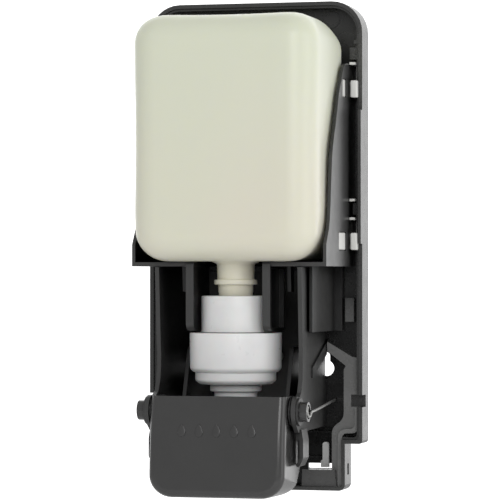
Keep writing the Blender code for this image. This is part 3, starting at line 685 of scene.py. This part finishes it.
def press_mark():
    """Row of raised droplets where a hand presses the lever."""
    z = HINGE.z - 9.6 * MM
    lean = math.atan2(lever_front(z + 3 * MM) - lever_front(z - 3 * MM), 6 * MM)
    upright = Matrix.Rotation(math.radians(90.0) - lean, 4, "X")
    start_x = -18.5 * MM
    face = lever_front(z) - 0.05 * MM
    drops = [drop_mesh(Matrix.Translation((start_x + i * DROP_PITCH, face, z)) @ upright)
             for i in range(DROP_COUNT)]
    mark = welded("press_mark", drops)
    coat(mark, "lever_plastic")
    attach(mark, "lever")
    return mark


def coil(centre, radius, start, end, turns, per_turn):
    """(along, across, up) of each point of a coil that runs from start to end along its axis."""
    steps = turns * per_turn
    points = []
    for i in range(steps + 1):
        angle = math.tau * i / per_turn
        points.append((start + (end - start) * i / steps, centre[0] + radius * math.cos(angle),
                       centre[1] + radius * math.sin(angle)))
    return points


def return_spring(side):
    """Torsion spring: coil inside the hollow pin, leg back to the plate."""
    name = "return_spring_" + side
    low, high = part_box(name)
    sign = 1.0 if side == "right" else -1.0
    radius = SPRING_WIRE["return"]
    outer = max(abs(low.x), abs(high.x)) - radius
    inner = min(abs(low.x), abs(high.x)) + radius
    points = coil((HINGE.y, HINGE.z), 2.5 * MM, sign * inner, sign * outer, 4, 20)
    foot = Vector((sign * 42.1 * MM, high.y - radius, HINGE.z + 3.2 * MM))
    start = Vector((sign * outer, HINGE.y + 9.0 * MM, HINGE.z + 0.2 * MM))
    points += [tuple(start.lerp(foot, share)) for share in (0.0, 0.2, 0.5, 0.9, 0.97, 1.0)]
    spring = wire(name + "_wire", points, radius)
    coat(spring, "spring_steel")
    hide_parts(name)
    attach(spring, "wall_frame")
    return spring


def pump_spring():
    """Compression spring that hangs from the collar's roof, built at one length though it shortens as the plunger
    comes up.
    """
    low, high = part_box("pump_spring")
    radius = SPRING_WIRE["pump"]
    axis_y = (low.y + high.y) / 2
    points = [(x, y, z) for z, x, y in
              coil((0.0, axis_y), high.x - radius, high.z - radius, low.z + radius, 4, 28)]
    curve = wire("pump_spring_curve", points, radius, 4)
    spring = welded("pump_spring_wire", [evaluated_mesh(curve)])
    bpy.data.objects.remove(curve, do_unlink=True)
    coat(spring, "spring_steel")
    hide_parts("pump_spring")
    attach(spring, "refill")
    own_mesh(spring)
    return spring


# ---------------------------------------------------------------- studio

def camera():
    """Three-quarter view from the right, a long lens level with the bottle's foot."""
    azimuth, rise = math.radians(15.0), math.radians(0.503)
    data = bpy.data.cameras.new("camera")
    data.sensor_width = 36.0
    data.lens = 205.9
    data.clip_end = 50.0
    eye = new_object("camera", data)
    eye.location = (0.3993, -1.5158, -0.0158)
    eye.rotation_euler = (math.radians(90.0) + rise, 0.0, azimuth)
    bpy.context.scene.camera = eye


def softbox(name, place, size, power):
    """Soft rectangular light that looks at the dispenser's middle."""
    data = bpy.data.lights.new(name, "AREA")
    data.shape = "RECTANGLE"
    data.size, data.size_y = size
    data.energy = power
    light = new_object(name, data)
    light.location = place
    aim = Vector((0.0, -0.05, 0.0)) - Vector(place)
    light.rotation_euler = aim.to_track_quat("-Z", "Y").to_euler()
    return light


def surroundings():
    """White room, brighter behind the dispenser than in front of it."""
    world = bpy.data.worlds.new("studio")
    bpy.context.scene.world = world
    world.use_nodes = True
    tree = world.node_tree
    background = tree.nodes["Background"]
    direction = tree.nodes.new("ShaderNodeTexCoord").outputs["Generated"]
    parts = tree.nodes.new("ShaderNodeSeparateXYZ")
    tree.links.new(direction, parts.inputs["Vector"])
    spread = tree.nodes.new("ShaderNodeMapRange")
    spread.interpolation_type = "SMOOTHSTEP"
    for socket, value in (("From Min", 0.2), ("From Max", 0.85), ("To Min", 0.5), ("To Max", 1.5)):
        spread.inputs[socket].default_value = value
    tree.links.new(parts.outputs["Y"], spread.inputs["Value"])
    tree.links.new(spread.outputs["Result"], background.inputs["Strength"])
    background.inputs["Color"].default_value = (1.0, 1.0, 1.0, 1.0)


def pale_floor():
    """Plain floor below the dispenser; the camera looks over it."""
    bpy.ops.mesh.primitive_plane_add(size=5.0, location=(0.0, 0.0, FLOOR_HEIGHT))
    floor = bpy.context.object
    floor.name = "floor"
    pale = Look("pale_floor", (0.86, 0.86, 0.86), 0.6)
    floor.data.materials.append(pale.material)


def studio():
    surroundings()
    pale_floor()
    softbox("key_front", (0.75, -2.0, 0.75), (1.1, 1.1), 12.5)
    softbox("side_right", (1.5, -0.3, 0.2), (0.8, 1.4), 3.5)
    bpy.context.scene.view_settings.view_transform = "Standard"


dress_cad_nodes()
Bottle().build()
pump_parts()
press_mark()
for side_name in ("left", "right"):
    return_spring(side_name)
pump_spring()
camera()
studio()
